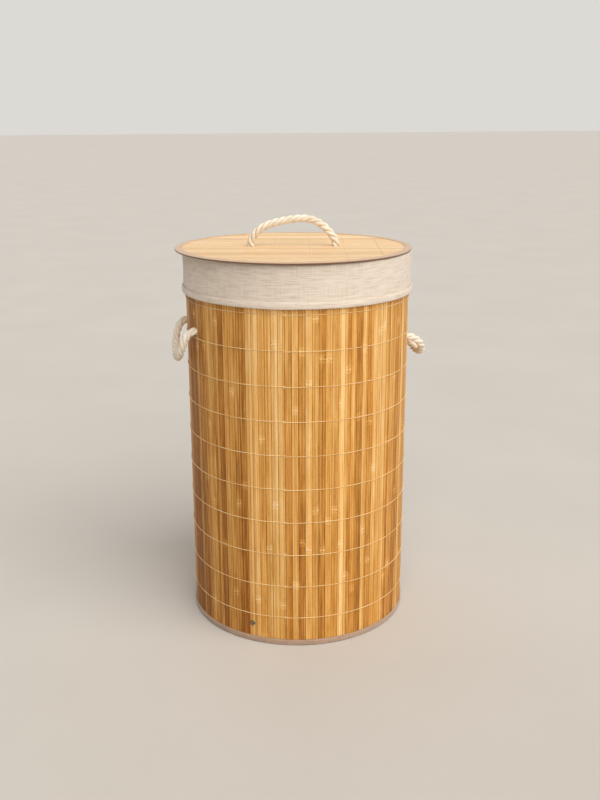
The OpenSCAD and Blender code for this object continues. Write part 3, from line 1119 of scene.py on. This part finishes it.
foot_tape = tape_ring(
    "foot_tape",
    [(0.16964, 0.0098), (0.16964, 0.0008), (0.1758, 0.0008), (0.1760, 0.0052), (0.1757, 0.0098)],
    0.0016, 0.1758, "basket", "foot_binding", tape_t, tape_finish,
)
rim_tape = tape_ring(
    "rim_tape",
    [(0.16964, 0.5839), (0.16964, 0.59485), (0.1757, 0.59485), (0.1758, 0.5893), (0.1757, 0.5839)],
    0.0014, 0.1757, "basket", "rim_binding", tape_t, tape_finish,
)


def stitches(name, rows, body, place=None):
    """Rows of stitches, each row a radius and a height. A stitch is a small thread loop
    pulled down at its ends."""
    bm = bmesh.new()
    bmesh.ops.create_uvsphere(
        bm, u_segments=6, v_segments=4, radius=1,
        matrix=Matrix.Diagonal((0.00026, stitch_length / 2, 0.00026, 1)),
    )
    places = []
    for radius, height in rows:
        count = round(2 * math.pi * radius / stitch_pitch)
        for k in range(count):
            turn = Matrix.Rotation(2 * math.pi * k / count, 4, "Z")
            places.append((place or Matrix()) @ turn @ Matrix.Translation((radius, 0, height)))
    mesh = repeated(to_mesh(bm, "stitch"), places, name)
    piece = place_piece(name, mesh, thread_cotton)
    mesh.shade_smooth()
    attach(piece, body)
    return piece


basket_stitches = stitches(
    "basket_stitches", [(0.17645, 0.0084), (0.17640, 0.5854)], "basket"
)

# ---- Base ----
# A stitched cloth under the basket, a round hardboard panel on it, and between them a
# webbing strap whose ends run up inside the wall. Each end is held by one small
# aged-brass rivet through the wall, with a washer inside.
cover_finish = cloth_finish(
    "base_cover", 800, 1.2, 0.0003,
    linear(138, 108, 88), linear(172, 142, 120), linear(196, 170, 148), 0.2,
)
cover_r = 0.16878
cover_bm = spun(
    [*line_up((0, 0.0004), (0.150, 0.0004), 24), *line_up((0.150, 0.0004), (cover_r, 0.0004), 10),
     (cover_r, 0.0004)],
    144,
)
for vert in cover_bm.verts:
    reach = vert.co.xy.length / cover_r
    facing = math.atan2(vert.co.y, vert.co.x)
    pucker = 0.00012 * (1 + math.sin(facing * 48)) * max(0.0, reach - 0.9) * 10
    vert.co.z += pucker + 0.0001 * (1 + noise.noise(vert.co * 30))
map_flat_cloth(cover_bm)
base_cover = place_piece("base_cover", to_mesh(cover_bm, "base_cover"), cover_finish)
thicken(base_cover, 0.0006)
base_cover.data.shade_smooth()
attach(base_cover, "basket")
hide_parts("base_cloth")

webbing_finish = cloth_finish(
    "strap_webbing", 620, 0.7, 0.0005,
    linear(150, 124, 92), linear(190, 164, 128), linear(214, 190, 156), 0.2,
)
strap_half_width = 0.0125
strap_side = [(0.16777, 0.00145), (0.16777, 0.0098), (0.17178, 0.0160), (0.17178, 0.0430)]
strap_corners = [(-x, z) for x, z in reversed(strap_side)] + strap_side
strap_run = [Vector((x, 0, z)) for x, z in eased(strap_corners, 0.0022, 4)]


def build_strap():
    """The webbing strap: its run drawn out sideways and thickened."""
    bm = bmesh.new()
    cloth = bm.loops.layers.uv.new("cloth")
    walk = bm.verts.layers.float.new("walk")
    verts = []
    walked = 0.0
    for k, spot in enumerate(strap_run):
        if k:
            walked += (spot - strap_run[k - 1]).length
        vert = bm.verts.new((spot.x, -strap_half_width, spot.z))
        vert[walk] = walked
        verts.append(vert)
    edges = [bm.edges.new(pair) for pair in zip(verts, verts[1:])]
    for _ in range(6):
        grown = bmesh.ops.extrude_edge_only(bm, edges=edges)["geom"]
        edges = [item for item in grown if isinstance(item, bmesh.types.BMEdge)]
        moved = [item for item in grown if isinstance(item, bmesh.types.BMVert)]
        bmesh.ops.translate(bm, verts=moved, vec=(0, strap_half_width / 3, 0))
        edges = [edge for edge in edges if all(vert in set(moved) for vert in edge.verts)]
    bmesh.ops.recalc_face_normals(bm, faces=bm.faces)
    for face in bm.faces:
        for loop in face.loops:
            loop[cloth].uv = (loop.vert[walk], loop.vert.co.y)
    piece = place_piece("base_webbing", to_mesh(bm, "base_webbing"), webbing_finish)
    thicken(piece, 0.0012)
    piece.data.transform(Matrix.Rotation(strap_angle, 4, "Z"))
    round_off(piece.data, 50)
    return piece


base_webbing = build_strap()
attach(base_webbing, "basket")
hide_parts("base_strap")
strap_length = sum((b - a).length for a, b in zip(strap_run, strap_run[1:]))

board, board_tree, board_shader = new_finish("hardboard", roughness=0.62)
board_place = object_place(board_tree)
board_flecks = grain_noise(board_tree, stretch(board_tree, board_place, 420, 420, 420), 1, 4, 0.7)
board_clouds = grain_noise(board_tree, board_place, 14, 2)
board_tree.links.new(
    blend_colours(
        board_tree, 0.6,
        ramp(
            board_tree, board_flecks, (0.32, linear(104, 70, 42)), (0.5, linear(142, 100, 64)),
            (0.70, linear(172, 130, 90)),
        ),
        ramp(board_tree, board_clouds, (0.3, linear(214, 200, 186)), (0.7, linear(255, 250, 244))),
        "MULTIPLY",
    ),
    board_shader.inputs["Base Color"],
)
bump(board_tree, board_shader, board_flecks, 0.00015, 0.6)
panel_r = 0.1668
panel_bm = spun(
    [(0, 0.0021), (0.08, 0.0021), (panel_r - 0.0006, 0.0021), (panel_r - 0.00015, 0.00225),
     (panel_r, 0.0027), (panel_r, 0.0045), (panel_r - 0.00015, 0.00495),
     (panel_r - 0.0006, 0.0051), (0.08, 0.0051), (0, 0.0051)],
    128,
)
base_panel = place_piece("base_panel", to_mesh(panel_bm, "base_panel"), board)
round_off(base_panel.data, 35)
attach(base_panel, "basket")
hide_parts("base_board")

brass, brass_tree, brass_shader = new_finish("aged_brass", metallic=1.0, roughness=0.42)
brass_place = object_place(brass_tree)
tarnish = grain_noise(brass_tree, brass_place, 420, 4, 0.7)
brass_tree.links.new(
    ramp(
        brass_tree, tarnish, (0.36, linear(92, 78, 58)), (0.52, linear(150, 136, 112)),
        (0.70, linear(196, 186, 162)),
    ),
    brass_shader.inputs["Base Color"],
)
brass_tree.links.new(
    minus(brass_tree, 0.66, times(brass_tree, tarnish, 0.45)),
    brass_shader.inputs["Roughness"],
)
bump(brass_tree, brass_shader, tarnish, 0.00008, 0.5)


def at_rivets(name, profile, closed, node):
    """A turned metal piece at both rivets, its profile's height measured outwards."""
    bm = bmesh.new()
    for turn in (0, math.pi):
        one = to_mesh(spun(profile, 32, closed=closed), "turned")
        one.transform(
            Matrix.Rotation(strap_angle + turn, 4, "Z")
            @ Matrix.Translation((0, 0, rivet_z))
            @ outwards
        )
        bm.from_mesh(one)
        bpy.data.meshes.remove(one)
    piece = place_piece(name, to_mesh(bm, name), brass)
    round_off(piece.data, 38)
    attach(piece, "basket")
    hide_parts(node)
    return piece


rivets = at_rivets(
    "rivets",
    [(0, 0.17635), (0.0014, 0.17631), (0.0026, 0.17617), (0.0036, 0.17590), (0.0042, 0.17560),
     (0.0045, 0.17530), (0.00445, 0.17508), (0.0015, 0.17505), (0.0015, 0.17028),
     (0.0021, 0.17022), (0.00225, 0.16990), (0.0019, 0.16955), (0, 0.16948)],
    False, "strap_rivets",
)
washers = at_rivets(
    "washers",
    [(0.0016, 0.17036), (0.0043, 0.17033), (0.0045, 0.17050), (0.0045, 0.17095),
     (0.0043, 0.17113), (0.0016, 0.17110)],
    True, "rivet_washers",
)

# ---- Liner ----
# A lift-out bag of oatmeal linen. Its mouth folds over the rim and hangs outside as a
# cuff 63 mm deep, with an elastic in a puffed, stitched hem. The bag itself is looser
# than the basket, so it hangs in soft folds down to its sewn-in round bottom.
linen_t = 0.001
liner_r = 0.178
liner_steps = 256
bag_r = 0.1563
neck_r = 0.16808
cuff_r = 0.17825
cuff_top = 0.5962
cuff_bottom = 0.5340
hem_top = 0.5435
# Where the bag ends inwards and upwards, then the neck, the cuff and its hem
bag_reach = 0.1575
bag_mouth = 0.505
neck_reach = 0.1690
neck_mouth = 0.5945
cuff_reach = 0.1775
hem_reach = 0.1785
hem_mouth = 0.5445
# Wrinkles pressed into the cuff: bearing, height, slant, half length, half width, depth
cuff_wrinkles = [
    (-38, 0.5600, 62, 0.022, 0.0030, 0.0014),
    (-30, 0.5560, 48, 0.020, 0.0028, 0.0017),
    (-23, 0.5660, 66, 0.024, 0.0034, 0.0015),
    (-15, 0.5580, 40, 0.018, 0.0030, 0.0012),
    (-128, 0.5640, 28, 0.016, 0.0042, 0.0008),
    (-134, 0.5590, 40, 0.015, 0.0038, 0.0009),
    (-158, 0.5620, 55, 0.018, 0.0040, 0.0009),
    (-70, 0.5660, 15, 0.030, 0.0044, 0.0005),
]
cuff_luck = random.Random(5)
for _ in range(12):
    cuff_wrinkles.append(
        (cuff_luck.uniform(0, 200), cuff_luck.uniform(0.548, 0.575), cuff_luck.uniform(15, 75),
         cuff_luck.uniform(0.012, 0.026), cuff_luck.uniform(0.0028, 0.0045),
         cuff_luck.uniform(0.0006, 0.0014))
    )

linen = cloth_finish(
    "linen", 900, 1.5, 0.0004,
    linear(192, 175, 156), linear(231, 216, 200), linear(246, 236, 224), 0.3,
)
liner_profile = [
    (0.1500, 0.0060), (0.1535, 0.0063), (0.1554, 0.0080), (0.1562, 0.0112),
    *line_up((bag_r, 0.0150), (bag_r, 0.4980), 48),
]
for k in range(9):
    rise = k / 8
    ease = rise * rise * (3 - 2 * rise)
    liner_profile.append((bag_r + (neck_r - bag_r) * ease, 0.4980 + 0.0170 * rise))
liner_profile += [
    *line_up((neck_r, 0.5175), (neck_r, 0.5928), 14),
    (neck_r, 0.5928), (0.16822, 0.5945), (0.16870, 0.5956), (0.16975, cuff_top),
    (0.1730, cuff_top), (0.1762, cuff_top), (0.1774, 0.5958), (0.17805, 0.5949),
    (cuff_r, 0.5933),
    *line_up((cuff_r, 0.5913), (cuff_r, 0.5360), 26),
    (cuff_r, 0.5360), (0.17832, 0.5347), (0.17880, cuff_bottom), (0.17940, 0.5339),
    (0.17995, 0.5344), (0.18030, 0.5356), (0.18050, 0.5374), (0.18055, 0.5390),
    (0.18045, 0.5406), (0.18020, 0.5419), (0.17975, 0.5429), (0.17925, hem_top),
]


def cuff_relief(facing, height):
    """How far the cuff stands out at a bearing and height: its fullness and wrinkles."""
    round_place = Vector((math.cos(facing) * 3, math.sin(facing) * 3, height * 26))
    level = (height - cuff_bottom) / (cuff_top - cuff_bottom)
    middle = math.sin(math.pi * min(1, max(0, level)))
    out = middle * (0.0004 * noise.noise(round_place) - 0.0006)
    for bearing, mid, slant, half_length, half_width, depth in cuff_wrinkles:
        turn = (facing - math.radians(bearing) + math.pi) % (2 * math.pi) - math.pi
        x = turn * cuff_r
        y = height - mid
        if abs(x) < 0.05:
            lean = math.radians(slant)
            along = (x * math.cos(lean) + y * math.sin(lean)) / half_length
            aside = (y * math.cos(lean) - x * math.sin(lean)) / half_width
            ridge = math.exp(-aside * aside) - 0.45 * math.exp(-((aside - 1.5) ** 2))
            out += 0.65 * depth * ridge * math.exp(-along * along) * min(1, middle * 2.5)
    return max(out, -0.0010)


def hang_liner(vert):
    """Moves one point of the spun liner to where the loose cloth hangs."""
    facing = math.atan2(vert.co.y, vert.co.x)
    out = vert.co.xy.normalized()
    ring = Vector((math.cos(facing), math.sin(facing), 0))
    radius = vert.co.xy.length
    height = vert.co.z
    if radius < bag_reach and height < bag_mouth:
        rise = height / 0.5
        loose = min(1, height / 0.03) * min(1, (bag_mouth - height) / 0.03)
        folds = noise.noise(ring * 5.5 + Vector((0, 0, rise * 0.9)))
        small = noise.noise(ring * 15 + Vector((3, 0, rise * 2.2)))
        sag = noise.noise(ring * 2 + Vector((0, 5, rise * 7)))
        depth = 0.0042 * (folds + 0.7) + 0.0018 * (small + 0.6) + 0.0014 * (sag + 0.6)
        vert.co.xy -= out * max(0, depth) * loose
    elif radius < neck_reach and height < neck_mouth:
        fall = min(1, (neck_mouth - height) / 0.01)
        crease = noise.noise(ring * 9 + Vector((0, 0, height * 30)))
        vert.co.xy -= out * 0.0006 * (crease + 0.5) * fall
    elif radius >= cuff_reach:
        vert.co.xy += out * cuff_relief(facing, height)
        if height < hem_mouth:
            puff = noise.noise(ring * 22 + Vector((0, 0, 4)))
            if radius > hem_reach:
                vert.co.xy += out * 0.00030 * (puff + 0.4)
            vert.co.z += 0.0005 * noise.noise(ring * 4) * min(1, (hem_mouth - height) / 0.006)


liner_bm = spun(liner_profile, liner_steps)
for vert in liner_bm.verts:
    hang_liner(vert)
map_cloth(liner_bm, liner_r)
liner_cloth = place_piece("liner_cloth", to_mesh(liner_bm, "liner_cloth"), linen)
thicken(liner_cloth, linen_t)
liner_cloth.data.shade_smooth()
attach(liner_cloth, "liner")
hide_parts("liner_bag_wall", "liner_cuff", "liner_hem")
liner_drop = sum(math.dist(a, b) for a, b in zip(liner_profile, liner_profile[1:]))

bottom_r = 0.1530
bottom_bm = spun([*line_up((0, 0.0059), (bottom_r, 0.0059), 36), (bottom_r, 0.0059)], 160)
for vert in bottom_bm.verts:
    reach = vert.co.xy.length / bottom_r
    facing = math.atan2(vert.co.y, vert.co.x)
    gather = max(0.0, reach - 0.75) * 4 * (1 + math.sin(facing * 31 + 3 * noise.noise(vert.co * 20)))
    soft = noise.noise(vert.co * 22) + 0.5 * noise.noise(vert.co * 60) + 0.6
    vert.co.z += 0.0003 * gather + 0.0009 * max(0, soft) * (1 - reach**6)
map_flat_cloth(bottom_bm)
liner_base = place_piece("liner_base", to_mesh(bottom_bm, "liner_base"), linen)
thicken(liner_base, linen_t)
liner_base.data.shade_smooth()
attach(liner_base, "liner")
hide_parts("liner_bag_floor")

hem_stitches = stitches("hem_stitches", [(0.17965, 0.5432)], "liner")

elastic, elastic_tree, elastic_shader = new_finish("elastic", roughness=0.7, sheen_weight=0.2)
elastic_place = object_place(elastic_tree)
elastic_ribs = add(
    elastic_tree, "ShaderNodeTexWave",
    {"Vector": elastic_place, "Scale": 320.0, "Distortion": 1.5}, bands_direction="Z",
).outputs["Fac"]
elastic_tree.links.new(
    ramp(elastic_tree, elastic_ribs, (0.2, linear(206, 202, 196)), (0.8, linear(244, 242, 238))),
    elastic_shader.inputs["Base Color"],
)
bump(elastic_tree, elastic_shader, elastic_ribs, 0.0003, 0.8)
frame["nodes"]["liner_elastic"].material_slots[0].material = elastic

# ---- Lid ----
# A flat round of paler, finer bamboo slats glued to a stiff brown card, with cloth under
# it, rows of thread across, and a taupe tape folded and stitched over its wire edge.
lid_slat_pitch = 0.010
lid_edge_cut = 0.00028
lid_slat_mid_z = 0.5993
first_lid_slat = -18
last_lid_slat = 17
lid_lane_start = 40
lid_bamboo_finish = bamboo_finish(
    "lid_bamboo", 0.55, 0.50, 0.5,
    (0.00, linear(216, 176, 124)),
    (0.30, linear(240, 206, 158)),
    (0.55, linear(251, 225, 182)),
    (0.80, linear(254, 234, 198)),
    (1.00, linear(255, 241, 212)),
)


def build_lid_slats():
    """The lid's slats: copied from the frame, each set a little lower, long edges rounded."""
    luck = random.Random(23)
    bm = merged_copy("lid_slats")
    layers = {
        key: bm.verts.layers.float_vector.new(key) for key in ("grain", "strip", "knuckles")
    }
    into = lid_place.inverted()
    bmesh.ops.transform(bm, matrix=into, verts=bm.verts)
    facts = {}
    for number in range(first_lid_slat, last_lid_slat + 1):
        tone = min(0.80, max(0.25, luck.gauss(0.50, 0.09)))
        split = luck.uniform(-0.0026, 0.0026)
        step = luck.choice((0.08, -0.08, 0.12, -0.12, 0.16, -0.16))
        marks = strip_marks(luck, -0.10, 0.10, 0.55)
        facts[number] = (tone, split, step, marks, luck.uniform(0, 0.00008))
    for shell in islands(bm):
        middle = (min(v.co.y for v in shell) + max(v.co.y for v in shell)) / 2
        number = math.floor(middle / lid_slat_pitch)
        for vert in shell:
            vert.co.z -= facts[number][4]
    long_edges = [
        edge for edge in bm.edges
        if abs((edge.verts[0].co - edge.verts[1].co).normalized().x) > 0.999
        and min(vert.co.z for vert in edge.verts) > lid_slat_mid_z
        and len(edge.link_faces) == 2
        and edge.calc_face_angle(0) > math.radians(60)
    ]
    bmesh.ops.bevel(
        bm, geom=long_edges, offset=lid_edge_cut, offset_type="OFFSET", segments=2, profile=0.5,
        affect="EDGES", material=-1, clamp_overlap=True,
    )
    for vert in bm.verts:
        number = math.floor(vert.co.y / lid_slat_pitch)
        number = min(last_lid_slat, max(first_lid_slat, number))
        tone, split, step, marks, _ = facts[number]
        aside = vert.co.y - (number + 0.5) * lid_slat_pitch
        start = (number + lid_lane_start) * lane + mid_lane
        vert[layers["grain"]] = (start + aside, vert.co.z, vert.co.x)
        vert[layers["strip"]] = (tone, mid_lane + split, step)
        vert[layers["knuckles"]] = marks
    bmesh.ops.transform(bm, matrix=lid_place, verts=bm.verts)
    piece = place_piece("lid_bamboo", to_mesh(bm, "lid_bamboo"), lid_bamboo_finish)
    round_off(piece.data, 35)
    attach(piece, "lid")
    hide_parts("lid_slats")
    return piece


lid_bamboo = build_lid_slats()


straw_thread, straw_tree, straw_shader = new_finish("straw_thread", roughness=0.8)
straw_place = object_place(straw_tree)
straw_tree.links.new(
    ramp(
        straw_tree, grain_noise(straw_tree, straw_place, 1300, 1),
        (0.3, linear(246, 216, 168)), (0.62, linear(254, 234, 196)),
    ),
    straw_shader.inputs["Base Color"],
)


def lid_thread_row(along):
    """A thread across the lid's slats, dipping between them."""
    half = math.sqrt(0.17195**2 - (abs(along) + 0.0008) ** 2)
    count = 144
    points = []
    for k in range(count + 1):
        y = -half + 2 * half * k / count
        gap = math.cos(2 * math.pi * y / lid_slat_pitch)
        height = 0.59982 - 0.00012 * max(0, gap)
        sway = 0.0003 * noise.noise(Vector((along * 50, y * 60, 0)))
        points.append(lid_place @ Vector((along + sway, y, height)))
    return points


lid_threads = threads(
    "lid_thread_rows",
    [lid_thread_row(side * (k + 0.5) * row_pitch) for k in range(3) for side in (-1, 1)],
    0.00028, "lid", "lid_threads", straw_thread,
)

frame["nodes"]["lid_board"].material_slots[0].material = board

lining_r = 0.1813
lining_z = 0.59765
lining_bm = spun([*line_up((0, lining_z), (lining_r, lining_z), 40), (lining_r, lining_z)], 160)
for vert in lining_bm.verts:
    vert.co.z -= 0.00006 * (1 + noise.noise(vert.co * 50))
map_flat_cloth(lining_bm)
lid_lining = place_piece("lid_lining", to_mesh(lining_bm, "lid_lining"), backing_finish)
thicken(lid_lining, backing_t)
cut_holes(
    lid_lining,
    [(Matrix.Translation((side * lid_half_span, 0, 0.595)), rope_hole) for side in (-1, 1)],
)
lid_lining.data.transform(lid_place)
round_off(lid_lining.data, 50)
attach(lid_lining, "lid")
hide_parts("lid_backing")

# The lid's tape carries painted shade: it is darker below 0.5989 m, over its side and underside, for the
# dark shadow line between the lid and the cuff.
lid_tape_finish = cloth_finish(
    "lid_tape", 1100, 1.1, 0.0003,
    linear(186, 152, 124), linear(214, 182, 152), linear(232, 206, 178), 0.3, 0.5989,
)
lid_edge_tape = tape_ring(
    "lid_edge_tape",
    [(0.1722, 0.59985), (0.1780, 0.59983), (0.1838, 0.59975), (0.1838, 0.59725),
     (0.1780, 0.59718), (0.1722, 0.59716)],
    0.0012, 0.184, "lid", "lid_binding", 0.0004, lid_tape_finish, lid_place,
)
lid_stitches = stitches(
    "lid_stitches", [(0.1738, 0.60008), (0.1738, 0.59690)], "lid", lid_place
)

# ---- Floor and light ----
# A plain pale floor under a soft studio light: one very broad lamp high at the right
# front, a weak one behind, and an even glow all round.
floor_bm = bmesh.new()
bmesh.ops.create_grid(floor_bm, x_segments=2, y_segments=2, size=40)
floor_finish, floor_tree, floor_shader = new_finish("floor", roughness=0.8)
floor_place = object_place(floor_tree)
floor_tree.links.new(
    ramp(
        floor_tree, grain_noise(floor_tree, floor_place, 3, 4),
        (0.3, linear(204, 199, 192)), (0.7, linear(208, 203, 196)),
    ),
    floor_shader.inputs["Base Color"],
)
floor = place_piece("floor", to_mesh(floor_bm, "floor"), floor_finish)


def lamp(name, bearing, height, strength, spread, colour):
    """A far lamp at a bearing from the camera's own and an angle above the floor."""
    data = bpy.data.lights.new(name, "SUN")
    data.energy = strength
    data.angle = math.radians(spread)
    data.color = colour[:3]
    made = bpy.data.objects.new(name, data)
    bpy.context.collection.objects.link(made)
    turn = camera_bearing + math.radians(bearing)
    rise = math.radians(height)
    way = Vector((math.sin(turn) * math.cos(rise), -math.cos(turn) * math.cos(rise), math.sin(rise)))
    made.rotation_euler = way.to_track_quat("Z", "Y").to_euler()
    return made


lamp("broad_lamp", 33, 46, 3.0, 70, linear(255, 251, 245))
lamp("back_lamp", 195, 35, 0.7, 90, linear(252, 252, 255))
world = bpy.data.worlds.new("room")
world.use_nodes = True
room = world.node_tree
glow = room.nodes["Background"]
glow.inputs["Color"].default_value = linear(246, 243, 238)
seen = add(room, "ShaderNodeLightPath").outputs["Is Camera Ray"]
room.links.new(plus(room, 0.28, times(room, seen, 0.5)), glow.inputs["Strength"])
bpy.context.scene.world = world
bpy.context.scene.view_settings.view_transform = "Standard"
